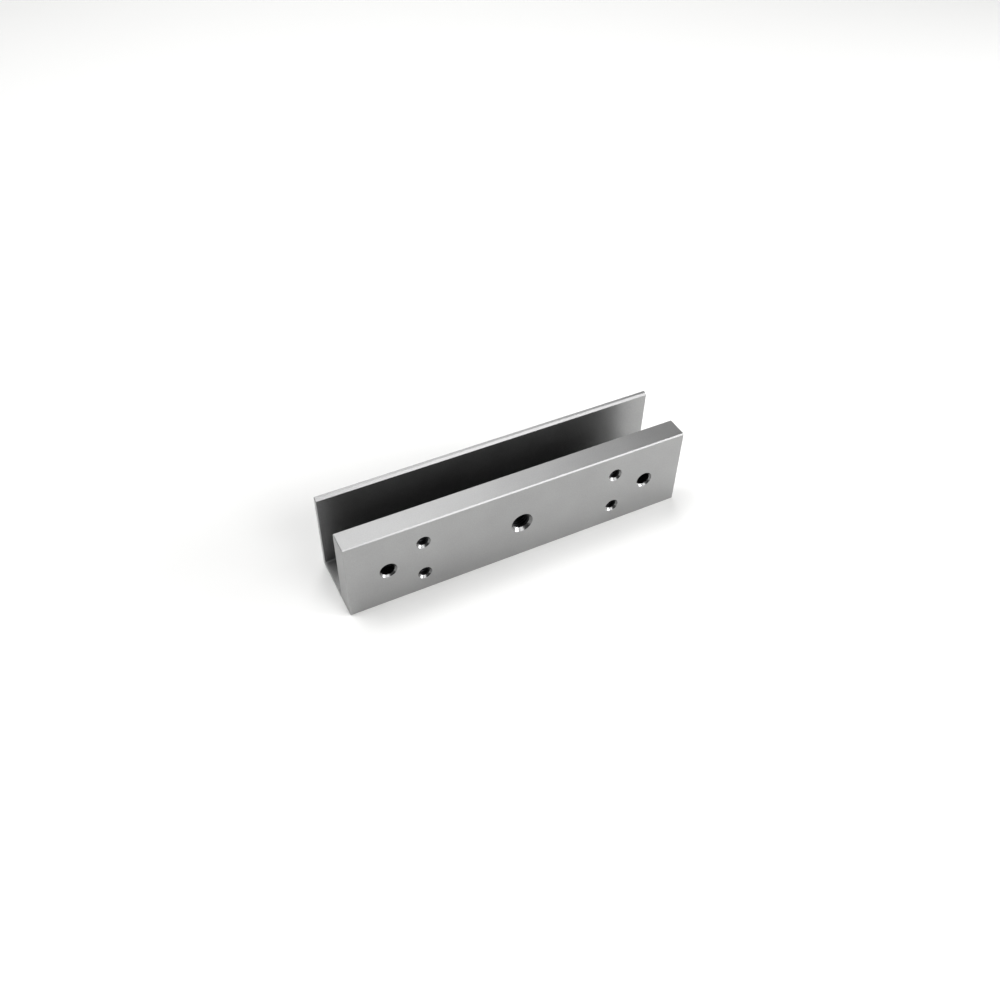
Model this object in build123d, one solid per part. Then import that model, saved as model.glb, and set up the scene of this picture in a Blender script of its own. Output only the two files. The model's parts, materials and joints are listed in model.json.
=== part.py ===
from build123d import *
import math
import os

# Glass door bracket that carries the armature plate of a magnetic lock: an aluminium
# channel that sits over the edge of a frameless glass door. Four set screws in the thick
# front wall push a rubber-faced bar against the glass, which backs onto the thin rear wall.
# Millimetres. X runs along the channel, -Y is the face the armature bolts to, +Z is up,
# and the origin is the middle of the channel's underside.

# Channel: every size can be set by itself.
length = 180.0
depth = 37.0
front_height = 45.0
rear_height = 45.5
front_wall = 12.0
rear_wall = 2.5
floor_wall = 3.0
front_edge_break = 0.6
rear_lead_in = 1.0
outer_corner_radius = 0.8
inner_corner_radius = 1.0
end_edge_break = 0.2

# Holes in the front wall, all at or about one height.
hole_row_height = 22.0
armature_thread_core = 8.5
armature_thread_mouth = 11.4
guide_hole_bore = 7.0
guide_hole_mouth = 8.8
guide_hole_spacing = 139.0
countersink_angle = 90.0
back_mouth_break = 0.4

# Set screws, M6 coarse. The holes are smooth, a running clearance over the thread's crest.
screw_diameter = 6.0
screw_length = 12.0
screw_end_break = 0.6
screw_spacing_x = 103.0
screw_spacing_z = 21.0
screw_hole_clearance = 0.05
screw_mouth_break = 0.55
socket_across_flats = 3.0
socket_depth = 3.5
cup_point_diameter = 3.0
cup_point_depth = 1.2

# Clamp bar and the rubber pad bonded to it. The tips of the screws sit in blind dimples, and
# the bar stands off the front wall by bar_stand_off with the clamp open.
bar_stand_off = 2.25
bar_thickness = 3.0
bar_end_inset = 6.0
bar_margin = 2.0
bar_corner_radius = 1.5
bar_edge_break = 0.4
dimple_depth = 0.8
dimple_clearance = 0.3
tip_clearance = 0.05
pad_thickness = 2.0
pad_inset = 2.0
pad_edge_radius = 0.5

front_y = -depth / 2
rear_y = depth / 2
wall_back_y = front_y + front_wall
rear_face_y = rear_y - rear_wall

bar_front_y = wall_back_y + bar_stand_off
bar_back_y = bar_front_y + bar_thickness
screw_radius = screw_diameter / 2
screw_tip_y = bar_front_y + dimple_depth - tip_clearance
screw_back_y = screw_tip_y - screw_length
dimple_radius = screw_radius + dimple_clearance
bar_length = length - 2 * bar_end_inset
bar_height = screw_spacing_z + 2 * (dimple_radius + bar_margin)

screw_places = {
    "set_screw_upper_left": (-screw_spacing_x / 2, hole_row_height + screw_spacing_z / 2),
    "set_screw_lower_left": (-screw_spacing_x / 2, hole_row_height - screw_spacing_z / 2),
    "set_screw_upper_right": (screw_spacing_x / 2, hole_row_height + screw_spacing_z / 2),
    "set_screw_lower_right": (screw_spacing_x / 2, hole_row_height - screw_spacing_z / 2),
}


# A plane whose own z axis runs along +Y, into the front wall.
def facing_in(x, y, z):
    return Plane(origin=(x, y, z), x_dir=(1, 0, 0), z_dir=(0, 1, 0))


def cylinder_in(radius, long, start=0.0):
    return Pos(0, 0, start) * Cylinder(radius, long, align=(Align.CENTER, Align.CENTER, Align.MIN))


def cone_in(start_radius, end_radius, long, start=0.0):
    align = (Align.CENTER, Align.CENTER, Align.MIN)
    return Pos(0, 0, start) * Cone(start_radius, end_radius, long, align=align)


# A hole through the front wall, countersunk on the face and eased at the back.
def wall_hole(radius, mouth_radius, x, z):
    flare = (mouth_radius - radius) / math.tan(math.radians(countersink_angle / 2))
    back_radius = radius + back_mouth_break
    hole = cylinder_in(radius, front_wall)
    hole += cone_in(mouth_radius, radius, flare)
    hole += cone_in(radius, back_radius, back_mouth_break, front_wall - back_mouth_break)
    return facing_in(x, front_y, z) * hole


def channel_outline():
    outline = Polyline(
        (front_y, 0),
        (rear_y, 0),
        (rear_y, rear_height),
        (rear_face_y, rear_height),
        (rear_face_y, floor_wall),
        (wall_back_y, floor_wall),
        (wall_back_y, front_height),
        (front_y, front_height),
        close=True,
    )
    face = make_face(outline)
    corners = face.vertices()
    break_corners = [nearest(corners, front_y, front_height), nearest(corners, wall_back_y, front_height)]
    face = chamfer(break_corners, front_edge_break)
    face = chamfer(nearest(face.vertices(), rear_face_y, rear_height), rear_lead_in)
    inner = [nearest(face.vertices(), y, floor_wall) for y in (wall_back_y, rear_face_y)]
    face = fillet(inner, inner_corner_radius)
    outer = [nearest(face.vertices(), y, 0) for y in (front_y, rear_y)]
    return fillet(outer, outer_corner_radius)


def nearest(corners, y, z):
    return corners.sort_by_distance((y, z, 0))[0]


def bracket_body():
    body = extrude(Plane.YZ * channel_outline(), length / 2, both=True)
    ends = body.faces().filter_by(Axis.X)
    body = chamfer(ends.edges(), end_edge_break)
    body -= wall_hole(armature_thread_core / 2, armature_thread_mouth / 2, 0, hole_row_height)
    for side in (-1, 1):
        x = side * guide_hole_spacing / 2
        body -= wall_hole(guide_hole_bore / 2, guide_hole_mouth / 2, x, hole_row_height)
    screw_hole_radius = screw_radius + screw_hole_clearance
    for x, z in screw_places.values():
        body -= wall_hole(screw_hole_radius, screw_hole_radius + screw_mouth_break, x, z)
    return body


def clamp_bar():
    plate = facing_in(0, bar_front_y, hole_row_height) * extrude(
        RectangleRounded(bar_length, bar_height, bar_corner_radius), bar_thickness
    )
    faces = plate.faces().filter_by(Axis.Y)
    plate = chamfer(faces.edges(), bar_edge_break)
    for x, z in screw_places.values():
        plate -= facing_in(x, bar_front_y, z) * cylinder_in(dimple_radius, dimple_depth)
    return plate


def clamp_pad():
    size_x = bar_length - 2 * pad_inset
    size_z = bar_height - 2 * pad_inset
    pad = facing_in(0, bar_back_y, hole_row_height) * extrude(
        RectangleRounded(size_x, size_z, bar_corner_radius), pad_thickness
    )
    glass_side = pad.faces().sort_by(Axis.Y)[-1]
    return fillet(glass_side.edges(), pad_edge_radius)


def set_screw(x, z):
    rim_radius = screw_radius - screw_end_break
    shank_end = screw_length - screw_end_break
    screw = cone_in(rim_radius, screw_radius, screw_end_break)
    screw += cylinder_in(screw_radius, screw_length - 2 * screw_end_break, screw_end_break)
    screw += cone_in(screw_radius, rim_radius, screw_end_break, shank_end)
    screw -= extrude(RegularPolygon(socket_across_flats / 2, 6, major_radius=False), socket_depth)
    cup = cone_in(0, cup_point_diameter / 2, cup_point_depth, screw_length - cup_point_depth)
    return facing_in(x, screw_back_y, z) * (screw - cup)


pieces = {
    "bracket_body": bracket_body(),
    "clamp_bar": clamp_bar(),
    "clamp_pad": clamp_pad(),
}
for name, (x, z) in screw_places.items():
    pieces[name] = set_screw(x, z)

os.makedirs("parts", exist_ok=True)
for name, piece in pieces.items():
    export_step(piece, f"parts/{name}.step")
    print(name, round(piece.volume, 1))
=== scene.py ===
import bpy
import json
import math
from mathutils import Matrix, Vector


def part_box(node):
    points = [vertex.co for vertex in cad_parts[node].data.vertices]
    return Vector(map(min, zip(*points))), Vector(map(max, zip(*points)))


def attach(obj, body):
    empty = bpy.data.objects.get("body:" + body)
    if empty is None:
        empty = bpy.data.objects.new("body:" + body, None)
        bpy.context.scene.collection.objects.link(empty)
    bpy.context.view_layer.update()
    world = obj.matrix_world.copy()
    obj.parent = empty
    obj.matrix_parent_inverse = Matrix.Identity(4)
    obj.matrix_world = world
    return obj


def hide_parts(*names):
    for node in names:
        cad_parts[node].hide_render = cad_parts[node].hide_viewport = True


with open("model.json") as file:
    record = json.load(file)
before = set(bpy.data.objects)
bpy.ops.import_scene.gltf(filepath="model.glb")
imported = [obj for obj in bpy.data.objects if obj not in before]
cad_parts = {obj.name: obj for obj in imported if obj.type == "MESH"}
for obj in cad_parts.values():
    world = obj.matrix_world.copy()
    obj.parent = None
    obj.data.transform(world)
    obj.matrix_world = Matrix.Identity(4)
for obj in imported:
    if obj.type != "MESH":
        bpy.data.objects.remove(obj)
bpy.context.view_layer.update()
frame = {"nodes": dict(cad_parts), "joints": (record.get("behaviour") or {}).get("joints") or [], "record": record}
record = frame["record"]
mm = 0.001
weld = 0.0005 * mm           # points closer than this are one point
cutWeld = 0.002 * mm         # the same after a cut, which leaves slivers a little longer
closeBy = 0.01 * mm          # points this near a plane are taken to be on it
outsideStep = 0.2 * mm       # how far a cutter stands out of the face it cuts
sharpAngle = 30              # edges that turn by more degrees than this stay sharp
print("frame loaded:", len(frame["nodes"]), "nodes")


def pickOnly(piece):
    bpy.ops.object.select_all(action="DESELECT")
    piece.select_set(True)
    bpy.context.view_layer.objects.active = piece


# leaves the piece in edit mode with only the wanted vertices, edges or polygons selected
def selectParts(piece, kind, wanted):
    pickOnly(piece)
    bpy.ops.object.mode_set(mode="EDIT")
    bpy.ops.mesh.select_mode(type={"vertices": "VERT", "edges": "EDGE", "polygons": "FACE"}[kind])
    bpy.ops.mesh.select_all(action="DESELECT")
    bpy.ops.object.mode_set(mode="OBJECT")
    for part in getattr(piece.data, kind):
        part.select = wanted(part)
    bpy.ops.object.mode_set(mode="EDIT")


def leaveEdit():
    bpy.ops.object.mode_set(mode="OBJECT")


# the two ends of an edge, for choosing edges by their place
def edgeEnds(piece, edge):
    return [piece.data.vertices[i].co for i in edge.vertices]


def bakePlace(piece, name):
    pickOnly(piece)
    bpy.ops.object.transform_apply(location=True, rotation=True, scale=True)
    piece.name = name
    piece.data.name = name
    return piece


def addBlock(name, low, high):
    bpy.ops.object.select_all(action="DESELECT")
    low, high = Vector(low), Vector(high)
    bpy.ops.mesh.primitive_cube_add(size=1, location=(low + high) / 2, scale=high - low)
    return bakePlace(bpy.context.object, name)


def applyModifier(piece, modifier):
    pickOnly(piece)
    bpy.ops.object.modifier_apply(modifier=modifier.name)


# cuts or intersects, and the new faces keep the tool's own material
def combine(piece, tool, operation):
    modifier = piece.modifiers.new("combine", "BOOLEAN")
    modifier.operation = operation
    modifier.object = tool
    modifier.solver = "EXACT"
    modifier.material_mode = "TRANSFER"
    applyModifier(piece, modifier)
    bpy.data.objects.remove(tool)
    selectParts(piece, "vertices", lambda v: True)
    bpy.ops.mesh.remove_doubles(threshold=cutWeld)
    bpy.ops.mesh.dissolve_degenerate(threshold=weld)
    bpy.ops.mesh.select_all(action="SELECT")
    bpy.ops.mesh.fill_holes(sides=4)
    leaveEdit()


def bevelEdges(piece, wanted, width, segments):
    selectParts(piece, "edges", wanted)
    bpy.ops.mesh.bevel(offset=width, segments=segments, affect="EDGES")
    leaveEdit()


# smooth curves, and flat faces kept flat where they meet a small bevel
def finishShading(piece):
    pickOnly(piece)
    bpy.ops.object.shade_smooth_by_angle(angle=math.radians(sharpAngle))
    normals = piece.modifiers.new("normals", "WEIGHTED_NORMAL")
    normals.keep_sharp = True
    applyModifier(piece, normals)
    return piece


def setMaterial(piece, material):
    piece.data.materials.clear()
    piece.data.materials.append(material)


# a line of edges through the points (radius, y), to be turned round the Y axis
def drawLine(name, points):
    bpy.ops.object.select_all(action="DESELECT")
    bpy.ops.mesh.primitive_plane_add(size=mm, location=(points[0][0], points[0][1], 0))
    line = bakePlace(bpy.context.object, name)
    selectParts(line, "vertices", lambda v: True)
    bpy.ops.mesh.merge(type="CENTER")
    for (radius, y), (nextRadius, nextY) in zip(points, points[1:]):
        step = (nextRadius - radius, nextY - y, 0)
        bpy.ops.mesh.extrude_region_move(TRANSFORM_OT_translate={"value": step})
    leaveEdit()
    return line


# a solid turned round the Y axis; its outline starts and ends on the axis
def addTurned(name, outline, x=0, z=0, sides=96):
    solid = drawLine(name, outline)
    selectParts(solid, "edges", lambda edge: True)
    bpy.ops.mesh.spin(steps=sides, angle=2 * math.pi, center=(0, 0, 0), axis=(0, 1, 0))
    bpy.ops.mesh.select_all(action="SELECT")
    bpy.ops.mesh.remove_doubles(threshold=weld)
    bpy.ops.mesh.normals_make_consistent(inside=False)
    leaveEdit()
    return moveMesh(solid, x, z)


# A threaded rod along +Y. The thread starts from the same turn for every rod with the same
# firstY, so a screw made with it is in step with the hole that its fatter twin cuts.
def addThread(name, crestRadius, pitch, firstY, turns, shrink, sides):
    crest = crestRadius - shrink
    root = crest - thread["depth"] * pitch
    radii = {"crest": crest, "root": root}
    rod = drawLine(name, [(radii[level], firstY + share * pitch) for share, level in thread["profile"]])
    winding = rod.modifiers.new("winding", "SCREW")
    winding.axis = "Y"
    winding.screw_offset = pitch
    winding.iterations = turns
    winding.steps = sides
    winding.render_steps = sides
    applyModifier(rod, winding)
    selectParts(rod, "vertices", lambda v: True)
    bpy.ops.mesh.remove_doubles(threshold=weld)
    for y, keepAbove in ((firstY + pitch, True), (firstY + turns * pitch, False)):
        bpy.ops.mesh.select_all(action="SELECT")
        bpy.ops.mesh.bisect(plane_co=(0, y, 0), plane_no=(0, 1, 0), use_fill=True,
                            clear_inner=keepAbove, clear_outer=not keepAbove, threshold=weld)
    bpy.ops.mesh.select_all(action="SELECT")
    bpy.ops.mesh.normals_make_consistent(inside=False)
    leaveEdit()
    return rod


def moveMesh(piece, x, z):
    piece.location = (x, 0, z)
    return bakePlace(piece, piece.name)


def copyPiece(piece, name):
    twin = piece.copy()
    twin.data = piece.data.copy()
    bpy.context.collection.objects.link(twin)
    twin.name = name
    twin.data.name = name
    return twin


def linearColour(hexCode):
    parts = [int(hexCode[i:i + 2], 16) / 255 for i in (1, 3, 5)]
    return [*(v / 12.92 if v <= 0.04045 else ((v + 0.055) / 1.055) ** 2.4 for v in parts), 1]


# one node with its settings, and links given as input: output socket
def addNode(tree, kind, settings, links=None):
    node = tree.nodes.new(kind)
    for name, value in settings.items():
        if isinstance(name, int) or name in node.inputs:
            node.inputs[name].default_value = value
        else:
            setattr(node, name, value)
    for name, source in (links or {}).items():
        tree.links.new(source, node.inputs[name])
    return node


def newMaterial(name):
    material = bpy.data.materials.new(name)
    material.use_nodes = True
    material.node_tree.nodes.clear()
    return material, material.node_tree


def finishMaterial(tree, shader):
    addNode(tree, "ShaderNodeOutputMaterial", {}, {"Surface": shader.outputs["BSDF"]})


anodisedLook = {
    "light": "#AFAFAF", "dark": "#8B8B8B",
    "roughness": (0.36, 0.44),
    "grain": 0.6 * mm,          # blasted pits are about 0.1 mm, drawn coarser so they show
    "grainDepth": 0.02 * mm,
    "speckle": 0.45,            # the grain's share of the tint, the cloud has the rest
    "cloud": 30 * mm,
    "dieLineSpacing": 0.8 * mm,
    "dieLineDepth": 0.0015 * mm,
    "dieLineStretch": 0.02,     # how fast the lines change along the length, as a share of across
}


# Silver anodised aluminium, an extrusion bead blasted before anodising: a soft satin metal
# with a fine grain, faint lines along its length and slightly uneven gloss.
def anodisedAluminium():
    look = anodisedLook
    material, tree = newMaterial("anodisedAluminium")
    place = addNode(tree, "ShaderNodeTexCoord", {}).outputs["Object"]
    cloud = addNode(tree, "ShaderNodeTexNoise", {"Scale": 1 / look["cloud"], "Detail": 3}, {"Vector": place})
    grain = addNode(tree, "ShaderNodeTexNoise", {"Scale": 1 / look["grain"], "Detail": 2}, {"Vector": place})
    shade = addNode(tree, "ShaderNodeMix", {"Factor": look["speckle"]},
                    {"A": cloud.outputs["Fac"], "B": grain.outputs["Fac"]})
    tint = addNode(tree, "ShaderNodeValToRGB", {}, {"Fac": shade.outputs["Result"]})
    tint.color_ramp.elements[0].color = linearColour(look["dark"])
    tint.color_ramp.elements[1].color = linearColour(look["light"])
    smoothest, roughest = look["roughness"]
    gloss = addNode(tree, "ShaderNodeMapRange", {"To Min": smoothest, "To Max": roughest},
                    {"Value": cloud.outputs["Fac"]})
    pits = addNode(tree, "ShaderNodeBump", {"Distance": look["grainDepth"], "Strength": 1},
                   {"Height": grain.outputs["Fac"]})
    alongLength = addNode(tree, "ShaderNodeMapping", {"Scale": (look["dieLineStretch"], 1, 1)},
                          {"Vector": place})
    lines = addNode(tree, "ShaderNodeTexNoise", {"Scale": 1 / look["dieLineSpacing"], "Detail": 2},
                    {"Vector": alongLength.outputs["Vector"]})
    relief = addNode(tree, "ShaderNodeBump", {"Distance": look["dieLineDepth"], "Strength": 1},
                     {"Height": lines.outputs["Fac"], "Normal": pits.outputs["Normal"]})
    shader = addNode(tree, "ShaderNodeBsdfPrincipled", {"Metallic": 1},
                     {"Base Color": tint.outputs["Color"], "Roughness": gloss.outputs["Result"],
                      "Normal": relief.outputs["Normal"]})
    finishMaterial(tree, shader)
    return material


# the bore's grey is painted darker than the skin: painted shade of the hole
boreShadeLook = {
    "light": "#7E7E7E", "dark": "#6E6E6E", "roughness": 0.27,
    "ring": 0.25 * mm, "ringDepth": 0.0006 * mm,
    "ringStretch": 0.02,        # how fast the rings change across the axis, as a share of along
}


# Aluminium as the drill and countersink leave it, without the blasted skin: shinier, with fine
# rings round the axis, and its grey painted darker as painted shade of the hole.
def machinedAluminium():
    look = boreShadeLook
    material, tree = newMaterial("machinedAluminium")
    place = addNode(tree, "ShaderNodeTexCoord", {}).outputs["Object"]
    stretch = look["ringStretch"]
    acrossAxis = addNode(tree, "ShaderNodeMapping", {"Scale": (stretch, 1, stretch)}, {"Vector": place})
    rings = addNode(tree, "ShaderNodeTexNoise", {"Scale": 1 / look["ring"], "Detail": 2},
                    {"Vector": acrossAxis.outputs["Vector"]})
    tint = addNode(tree, "ShaderNodeValToRGB", {}, {"Fac": rings.outputs["Fac"]})
    tint.color_ramp.elements[0].color = linearColour(look["dark"])
    tint.color_ramp.elements[1].color = linearColour(look["light"])
    relief = addNode(tree, "ShaderNodeBump", {"Distance": look["ringDepth"], "Strength": 1},
                     {"Height": rings.outputs["Fac"]})
    shader = addNode(tree, "ShaderNodeBsdfPrincipled", {"Metallic": 1, "Roughness": look["roughness"]},
                     {"Base Color": tint.outputs["Color"], "Normal": relief.outputs["Normal"]})
    finishMaterial(tree, shader)
    return material


# the thread's dark grey is painted shade for the inside of the hole
threadShadeLook = {
    "light": "#343536", "dark": "#1E1F20", "roughness": 0.32,
    "tear": 0.5 * mm, "tearDepth": 0.006 * mm,
}


# Aluminium cut by a tap, with torn flanks: its dull dark grey is painted shade, standing for
# the shade deep in the hole.
def tappedAluminium():
    look = threadShadeLook
    material, tree = newMaterial("tappedAluminium")
    place = addNode(tree, "ShaderNodeTexCoord", {}).outputs["Object"]
    tears = addNode(tree, "ShaderNodeTexNoise", {"Scale": 1 / look["tear"], "Detail": 4}, {"Vector": place})
    tint = addNode(tree, "ShaderNodeValToRGB", {}, {"Fac": tears.outputs["Fac"]})
    tint.color_ramp.elements[0].color = linearColour(look["dark"])
    tint.color_ramp.elements[1].color = linearColour(look["light"])
    relief = addNode(tree, "ShaderNodeBump", {"Distance": look["tearDepth"], "Strength": 1},
                     {"Height": tears.outputs["Fac"]})
    shader = addNode(tree, "ShaderNodeBsdfPrincipled", {"Metallic": 1, "Roughness": look["roughness"]},
                     {"Base Color": tint.outputs["Color"], "Normal": relief.outputs["Normal"]})
    finishMaterial(tree, shader)
    return material


oxideLook = {
    "light": "#2E2E31", "dark": "#1D1D20", "roughness": (0.35, 0.5),
    "patch": 1.2 * mm, "grain": 0.2 * mm, "grainDepth": 0.002 * mm,
}


# Hardened steel with a black oxide finish: a thin oily black that lets a little metal shine
# through, slightly mottled.
def blackOxideSteel():
    look = oxideLook
    material, tree = newMaterial("blackOxideSteel")
    place = addNode(tree, "ShaderNodeTexCoord", {}).outputs["Object"]
    patch = addNode(tree, "ShaderNodeTexNoise", {"Scale": 1 / look["patch"], "Detail": 4}, {"Vector": place})
    tint = addNode(tree, "ShaderNodeValToRGB", {}, {"Fac": patch.outputs["Fac"]})
    tint.color_ramp.elements[0].color = linearColour(look["dark"])
    tint.color_ramp.elements[1].color = linearColour(look["light"])
    smoothest, roughest = look["roughness"]
    gloss = addNode(tree, "ShaderNodeMapRange", {"To Min": smoothest, "To Max": roughest},
                    {"Value": patch.outputs["Fac"]})
    grain = addNode(tree, "ShaderNodeTexNoise", {"Scale": 1 / look["grain"], "Detail": 2}, {"Vector": place})
    relief = addNode(tree, "ShaderNodeBump", {"Distance": look["grainDepth"], "Strength": 1},
                     {"Height": grain.outputs["Fac"]})
    shader = addNode(tree, "ShaderNodeBsdfPrincipled", {"Metallic": 0.85},
                     {"Base Color": tint.outputs["Color"], "Roughness": gloss.outputs["Result"],
                      "Normal": relief.outputs["Normal"]})
    finishMaterial(tree, shader)
    return material


zincLook = {
    "light": "#C3C9CF", "dark": "#A3A9B2", "roughness": (0.26, 0.42),
    "spangle": 6 * mm, "lineSpacing": 0.5 * mm, "lineDepth": 0.003 * mm,
    "lineStretch": 0.03,        # how fast the lines change along the bar, as a share of across
}


# Cold drawn steel bar, zinc plated and clear passivated: cool grey with a faint blue cast,
# cloudy gloss and drawing lines along the bar.
def zincPlatedSteel():
    look = zincLook
    material, tree = newMaterial("zincPlatedSteel")
    place = addNode(tree, "ShaderNodeTexCoord", {}).outputs["Object"]
    spangle = addNode(tree, "ShaderNodeTexNoise", {"Scale": 1 / look["spangle"], "Detail": 5},
                      {"Vector": place})
    tint = addNode(tree, "ShaderNodeValToRGB", {}, {"Fac": spangle.outputs["Fac"]})
    tint.color_ramp.elements[0].color = linearColour(look["dark"])
    tint.color_ramp.elements[1].color = linearColour(look["light"])
    smoothest, roughest = look["roughness"]
    gloss = addNode(tree, "ShaderNodeMapRange", {"To Min": smoothest, "To Max": roughest},
                    {"Value": spangle.outputs["Fac"]})
    alongLength = addNode(tree, "ShaderNodeMapping", {"Scale": (look["lineStretch"], 1, 1)},
                          {"Vector": place})
    lines = addNode(tree, "ShaderNodeTexNoise", {"Scale": 1 / look["lineSpacing"], "Detail": 3},
                    {"Vector": alongLength.outputs["Vector"]})
    relief = addNode(tree, "ShaderNodeBump", {"Distance": look["lineDepth"], "Strength": 1},
                     {"Height": lines.outputs["Fac"]})
    shader = addNode(tree, "ShaderNodeBsdfPrincipled", {"Metallic": 1},
                     {"Base Color": tint.outputs["Color"], "Roughness": gloss.outputs["Result"],
                      "Normal": relief.outputs["Normal"]})
    finishMaterial(tree, shader)
    return material


rubberLook = {
    "light": "#262627", "dark": "#18181A", "roughness": (0.62, 0.8),
    "bloom": 9 * mm, "grain": 0.35 * mm, "grainDepth": 0.02 * mm,
}


# Black EPDM rubber, compression moulded: matt, with a fine grain from the mould and a faint
# grey bloom in patches.
def mouldedRubber():
    look = rubberLook
    material, tree = newMaterial("mouldedRubber")
    place = addNode(tree, "ShaderNodeTexCoord", {}).outputs["Object"]
    bloom = addNode(tree, "ShaderNodeTexNoise", {"Scale": 1 / look["bloom"], "Detail": 4}, {"Vector": place})
    tint = addNode(tree, "ShaderNodeValToRGB", {}, {"Fac": bloom.outputs["Fac"]})
    tint.color_ramp.elements[0].color = linearColour(look["dark"])
    tint.color_ramp.elements[1].color = linearColour(look["light"])
    smoothest, roughest = look["roughness"]
    gloss = addNode(tree, "ShaderNodeMapRange", {"To Min": smoothest, "To Max": roughest},
                    {"Value": bloom.outputs["Fac"]})
    grain = addNode(tree, "ShaderNodeTexVoronoi", {"Scale": 1 / look["grain"]}, {"Vector": place})
    relief = addNode(tree, "ShaderNodeBump", {"Distance": look["grainDepth"], "Strength": 0.6},
                     {"Height": grain.outputs["Distance"]})
    shader = addNode(tree, "ShaderNodeBsdfPrincipled", {"Specular IOR Level": 0.4},
                     {"Base Color": tint.outputs["Color"], "Roughness": gloss.outputs["Result"],
                      "Normal": relief.outputs["Normal"]})
    finishMaterial(tree, shader)
    return material


skinMetal = anodisedAluminium()
# the bore metal carries painted shade for the holes' mouths and walls
boreMetalPaintedShade = machinedAluminium()
# the thread metal carries painted shade for the inside of the threaded holes
threadMetalPaintedShade = tappedAluminium()
screwSteel = blackOxideSteel()
barSteel = zincPlatedSteel()
padRubber = mouldedRubber()
print("materials made")


# Threads are shared by the holes and the set screws. Depth and profile are the ISO ones in
# shares of the pitch: a flat crest, a flank down, a flat root and a flank up, and the two
# flanks stand 60 degrees apart.
thread = {
    "depth": 0.5413,
    "profile": ((0, "crest"), (0.125, "crest"), (0.4375, "root"), (0.6875, "root"), (1, "crest")),
    "screwCrest": 3.0 * mm, "screwPitch": 1.0 * mm, "screwSides": 48,
    "boltCrest": 5.0 * mm, "boltPitch": 1.5 * mm, "boltSides": 72,
    "clearance": 0.05 * mm,      # the screw's thread is thinner than the hole's by this
    "overrun": 3,                # turns of a cutter outside the wall at each end
}

bracketLow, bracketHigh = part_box("bracket_body")
mounts = {mount["name"]: mount for mount in record["mounts"]}
turns = {joint["child"]: joint for joint in frame["joints"] if joint["type"] == "hinge"}


def screwThread(name, shrink, length):
    pitch = thread["screwPitch"]
    firstY = bracketLow.y - thread["overrun"] * pitch
    count = math.ceil(length / pitch) + 2 * thread["overrun"]
    return addThread(name, thread["screwCrest"], pitch, firstY, count, shrink, thread["screwSides"])


# The bracket is one extrusion, a channel with a thick front wall.
bracket = {
    "frontWall": 12 * mm, "rearWall": 2.5 * mm, "floor": 3 * mm, "frontHeight": 45 * mm,
    "frontChamfer": 0.6 * mm, "leadIn": 1.0 * mm,
    "innerRadius": 1.0 * mm, "outerRadius": 0.8 * mm, "cornerSegments": 6, "endBreak": 0.2 * mm,
    "softWidth": 0.06 * mm, "softSegments": 2, "softAngle": 25,     # a last tiny bevel on every edge
    "countersinkAngle": 90, "boltMouth": 5.7 * mm, "pinMouth": 4.4 * mm, "screwMouth": 3.6 * mm,
    "backBreak": 0.4 * mm,
}


def makeChannel():
    size = bracket
    backOfWall = bracketLow.y + size["frontWall"]
    rearFace = bracketHigh.y - size["rearWall"]
    floorTop = bracketLow.z + size["floor"]
    frontTop = bracketLow.z + size["frontHeight"]
    channel = addBlock("bracketBody", bracketLow, (bracketHigh.x, bracketHigh.y, floorTop))
    for y in (backOfWall, rearFace):
        selectParts(channel, "polygons", lambda face: True)
        bpy.ops.mesh.bisect(plane_co=(0, y, 0), plane_no=(0, 1, 0), threshold=weld)
        leaveEdit()
    for nearY, farY, top in ((bracketLow.y, backOfWall, frontTop), (rearFace, bracketHigh.y, bracketHigh.z)):
        selectParts(channel, "polygons",
                    lambda face: face.normal.z > 0.9 and nearY < face.center.y < farY)
        bpy.ops.mesh.extrude_region_move(TRANSFORM_OT_translate={"value": (0, 0, top - floorTop)})
        leaveEdit()

    def isLongEdge(y, z):
        def test(edge):
            ends = edgeEnds(channel, edge)
            return (abs(ends[0].x - ends[1].x) > 0.9 * (bracketHigh.x - bracketLow.x)
                    and all(abs(end.y - y) < closeBy and abs(end.z - z) < closeBy for end in ends))
        return test

    for y, z, width, segments in (
            (bracketLow.y, frontTop, size["frontChamfer"], 1),
            (backOfWall, frontTop, size["frontChamfer"], 1),
            (rearFace, bracketHigh.z, size["leadIn"], 1),
            (backOfWall, floorTop, size["innerRadius"], size["cornerSegments"]),
            (rearFace, floorTop, size["innerRadius"], size["cornerSegments"]),
            (bracketLow.y, bracketLow.z, size["outerRadius"], size["cornerSegments"]),
            (bracketHigh.y, bracketLow.z, size["outerRadius"], size["cornerSegments"])):
        bevelEdges(channel, isLongEdge(y, z), width, segments)

    def isEndEdge(edge):
        ends = edgeEnds(channel, edge)
        return any(all(abs(end.x - x) < closeBy for end in ends) for x in (bracketLow.x, bracketHigh.x))

    bevelEdges(channel, isEndEdge, size["endBreak"], 1)
    soften = channel.modifiers.new("soften", "BEVEL")
    soften.width = size["softWidth"]
    soften.segments = size["softSegments"]
    soften.limit_method = "ANGLE"
    soften.angle_limit = math.radians(size["softAngle"])
    applyModifier(channel, soften)
    setMaterial(channel, skinMetal)
    return channel


# The mouth's countersink on the face and the eased edge at the back, as outlines. Each runs
# on past the faces by the distance outside and into the wall's own radius by as much.
def countersunkOutline(wallRadius, mouthRadius, outside):
    steepness = math.tan(math.radians(bracket["countersinkAngle"] / 2))
    deepest = bracketLow.y + (mouthRadius - wallRadius) / steepness
    return ((mouthRadius + outside * steepness, bracketLow.y - outside), (wallRadius, deepest))


def easedOutline(wallRadius, outside):
    backOfWall = bracketLow.y + bracket["frontWall"]
    backBreak = bracket["backBreak"]
    return ((wallRadius, backOfWall - backBreak), (wallRadius + backBreak + outside, backOfWall + outside))


def cutWith(channel, tool, metal):
    setMaterial(tool, metal)
    combine(channel, tool, "DIFFERENCE")


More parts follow.
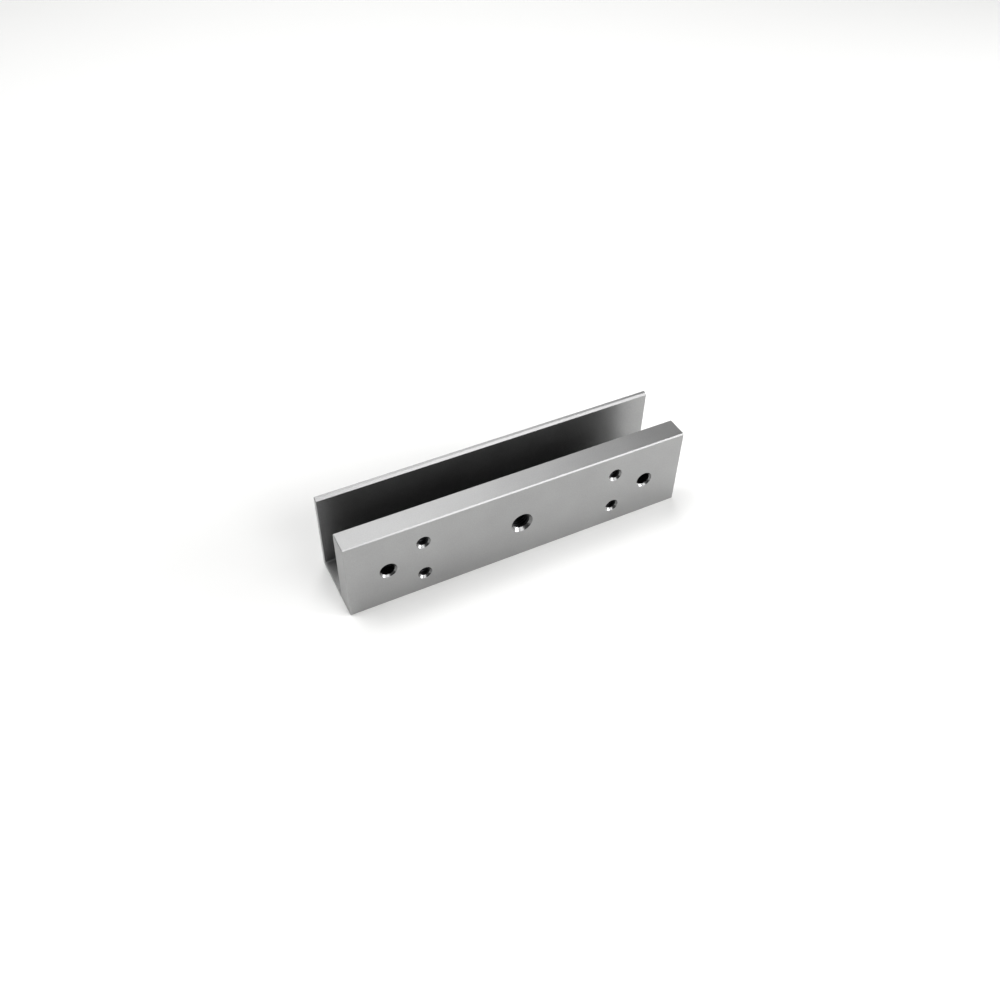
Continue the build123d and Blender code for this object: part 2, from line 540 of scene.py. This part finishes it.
def cutPlainHole(channel, wallRadius, mouthRadius, x, z):
    mouth = countersunkOutline(wallRadius, mouthRadius, outsideStep)
    back = easedOutline(wallRadius, outsideStep)
    outline = ((0, mouth[0][1]), *mouth, *back, (0, back[1][1]))
    cutWith(channel, addTurned("plainHole", outline, x, z), boreMetalPaintedShade)


def cutThreadedHole(channel, wall, wallRadius, mouthRadius, x, z):
    cutWith(channel, moveMesh(wall, x, z), threadMetalPaintedShade)
    start, end = countersunkOutline(wallRadius, mouthRadius, outsideStep)
    steepness = (start[0] - end[0]) / (end[1] - start[1])
    mouth = ((0, start[1]), start, (0, start[1] + start[0] / steepness))
    cutWith(channel, addTurned("mouth", mouth, x, z), boreMetalPaintedShade)
    start, end = easedOutline(wallRadius, outsideStep)
    back = ((0, start[1] - start[0]), end, (0, end[1]))
    cutWith(channel, addTurned("back", back, x, z), boreMetalPaintedShade)


def makeBracket():
    channel = makeChannel()
    print("channel shaped:", len(channel.data.polygons), "faces")

    bolt = Vector(mounts["armature_bolt_hole"]["pos_m"])
    pitch = thread["boltPitch"]
    firstY = bracketLow.y - thread["overrun"] * pitch
    count = math.ceil(bracket["frontWall"] / pitch) + 2 * thread["overrun"]
    wall = addThread("boltThread", thread["boltCrest"], pitch, firstY, count, 0, thread["boltSides"])
    boltRoot = thread["boltCrest"] - thread["depth"] * pitch
    cutThreadedHole(channel, wall, boltRoot, bracket["boltMouth"], bolt.x, bolt.z)

    pins = mounts["guide_pin_holes"]
    middle = Vector(pins["pos_m"])
    for side in (-1, 1):
        x = middle.x + side * pins["dims"]["spacing_x_mm"] * mm / 2
        cutPlainHole(channel, pins["dims"]["hole_r_mm"] * mm, bracket["pinMouth"], x, middle.z)

    screwRoot = thread["screwCrest"] - thread["depth"] * thread["screwPitch"]
    for body, joint in turns.items():
        x, _, z = joint["pos_m"]
        wall = screwThread("screwHole", 0, bracket["frontWall"])
        cutThreadedHole(channel, wall, screwRoot, bracket["screwMouth"], x, z)
        print("threaded hole cut for", body)

    return finishShading(channel)


channel = makeBracket()
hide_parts("bracket_body")
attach(channel, "bracket")
print("bracket made:", len(channel.data.polygons), "faces")


# The set screws are M6 with a hexagon socket and a cup point.
setScrew = {
    "endBreak": 0.6 * mm, "socketSides": 6, "socketAcrossFlats": 3.0 * mm, "socketDepth": 3.5 * mm,
    "drillRadius": 1.45 * mm, "drillPoint": 0.7 * mm,
    "socketBreak": 0.25 * mm, "cupRadius": 1.5 * mm, "cupDepth": 1.2 * mm,
}


# one screw on the Y axis, with its thread in step with the holes' threads
def makeScrew(startY, tipY):
    size = setScrew
    crest = thread["screwCrest"]
    eased = size["endBreak"]
    screw = screwThread("setScrew", thread["clearance"], tipY - bracketLow.y)
    outline = ((0, startY), (crest - eased, startY), (crest, startY + eased), (crest, tipY - eased),
               (crest - eased, tipY), (size["cupRadius"], tipY), (0, tipY - size["cupDepth"]))
    combine(screw, addTurned("blank", outline), "INTERSECT")
    corner = size["socketAcrossFlats"] / 2 / math.cos(math.pi / size["socketSides"])
    socketEnd = startY + size["socketDepth"]
    socket = ((0, startY - outsideStep), (corner, startY - outsideStep), (corner, socketEnd), (0, socketEnd))
    flare = corner + size["socketBreak"] + outsideStep
    rim = ((0, startY - outsideStep), (flare, startY - outsideStep), (0, startY - outsideStep + flare))
    point = ((0, startY), (size["drillRadius"], startY), (size["drillRadius"], socketEnd),
             (0, socketEnd + size["drillPoint"]))
    combine(screw, addTurned("socket", socket, sides=size["socketSides"]), "DIFFERENCE")
    combine(screw, addTurned("drillPoint", point), "DIFFERENCE")
    combine(screw, addTurned("rim", rim), "DIFFERENCE")
    setMaterial(screw, screwSteel)
    return finishShading(screw)


def placeScrews():
    nodes = {body: record["behaviour"]["bodies"][body][0] for body in turns}
    low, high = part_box(next(iter(nodes.values())))
    first = makeScrew(low.y, high.y)
    for body, joint in turns.items():
        x, _, z = joint["pos_m"]
        words = body.split("_")
        name = words[0] + "".join(word.capitalize() for word in words[1:])
        screw = moveMesh(copyPiece(first, name), x, z)
        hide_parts(nodes[body])
        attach(screw, body)
    bpy.data.objects.remove(first)
    print("set screws made:", len(screw.data.polygons), "faces each")


placeScrews()


# the bar is a plain flat, so its own solid shows, with the plated finish
setMaterial(frame["nodes"]["clamp_bar"], barSteel)

pad = {
    "ribPitch": 3.2 * mm, "grooveWidth": 0.7 * mm, "grooveDepth": 0.5 * mm,
    "edgeRadius": 0.5 * mm, "edgeSegments": 4, "cornerRadius": 1.5 * mm, "cornerSegments": 6,
}


# a flat moulded strip with shallow grooves along the face that grips the glass
def makePad():
    size = pad
    low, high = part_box("clamp_pad")
    strip = addBlock("clampPad", low, high)

    def isCorner(edge):
        ends = edgeEnds(strip, edge)
        return abs(ends[0].y - ends[1].y) > 0.5 * (high.y - low.y)

    bevelEdges(strip, isCorner, size["cornerRadius"], size["cornerSegments"])

    def isGlassEdge(edge):
        return all(abs(end.y - high.y) < closeBy for end in edgeEnds(strip, edge))

    bevelEdges(strip, isGlassEdge, size["edgeRadius"], size["edgeSegments"])
    middle = (low.z + high.z) / 2
    reach = (high.z - low.z) / 2 - size["ribPitch"]
    count = int(reach / size["ribPitch"])
    for step in range(-count, count + 1):
        z = middle + step * size["ribPitch"]
        groove = addBlock("groove", (low.x - mm, high.y - size["grooveDepth"], z - size["grooveWidth"] / 2),
                          (high.x + mm, high.y + mm, z + size["grooveWidth"] / 2))
        combine(strip, groove, "DIFFERENCE")
    setMaterial(strip, padRubber)
    return finishShading(strip)


strip = makePad()
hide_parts("clamp_pad")
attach(strip, "clamp")
print("pad made:", len(strip.data.polygons), "faces")


studio = {
    "floorSize": 12.0, "floorColour": "#F6F6F5", "world": "#6C6C6C",
    "paperRoughness": 0.9, "paperSpecular": 0.1,
    "lampDistance": 1.4, "aim": (0, 0, 0.02),
}

# softboxes: degrees round from the front to the right, degrees up, size in metres, watts
lamps = {
    "leftBox": (-120, 65, 0.7, 9.4),
    "backBox": (175, 65, 0.7, 5.0),
    "farBox": (160, 38, 0.7, 2.2),
    "frontBox": (48, 12, 0.7, 5.5),
    "sideBox": (64, 14, 0.6, 16.0),
    "highBox": (20, 39, 0.7, 7.0),
}


def makeStudio():
    bpy.ops.object.select_all(action="DESELECT")
    bpy.ops.mesh.primitive_plane_add(size=studio["floorSize"])
    floor = bpy.context.object
    floor.name = "floor"
    material, tree = newMaterial("floorPaper")
    colour = linearColour(studio["floorColour"])
    shader = addNode(tree, "ShaderNodeBsdfPrincipled",
                     {"Base Color": colour, "Roughness": studio["paperRoughness"],
                      "Specular IOR Level": studio["paperSpecular"]})
    finishMaterial(tree, shader)
    setMaterial(floor, material)
    for name, (across, up, size, watts) in lamps.items():
        light = bpy.data.lights.new(name, "AREA")
        light.size = size
        light.energy = watts
        lamp = bpy.data.objects.new(name, light)
        bpy.context.collection.objects.link(lamp)
        turn = Matrix.Rotation(math.radians(across), 3, "Z") @ Matrix.Rotation(math.radians(-up), 3, "X")
        lamp.location = turn @ Vector((0, -studio["lampDistance"], 0))
        lamp.rotation_euler = (Vector(studio["aim"]) - lamp.location).to_track_quat("-Z", "Y").to_euler()
    world = bpy.data.worlds.new("studioWorld")
    world.use_nodes = True
    world.node_tree.nodes["Background"].inputs["Color"].default_value = linearColour(studio["world"])
    bpy.context.scene.world = world
    bpy.context.scene.view_settings.view_transform = "Standard"


# the camera: place in metres, the way it faces, roll in degrees, lens and sensor in millimetres
view = {
    "place": (-0.16573, -0.31131, 0.37151), "direction": (0.32908, 0.62835, -0.70490),
    "roll": 1.221, "lens": 36.13, "sensor": 36.0, "nearest": 0.01,
}


def makeCamera():
    lensData = bpy.data.cameras.new("camera")
    lensData.lens = view["lens"]
    lensData.sensor_width = view["sensor"]
    lensData.clip_start = view["nearest"]
    camera = bpy.data.objects.new("camera", lensData)
    bpy.context.collection.objects.link(camera)
    camera.location = view["place"]
    facing = Vector(view["direction"]).to_track_quat("-Z", "Y").to_matrix().to_4x4()
    turned = facing @ Matrix.Rotation(math.radians(view["roll"]), 4, "Z")
    camera.rotation_euler = turned.to_euler()
    bpy.context.scene.camera = camera


makeStudio()
makeCamera()
print("studio and camera made")
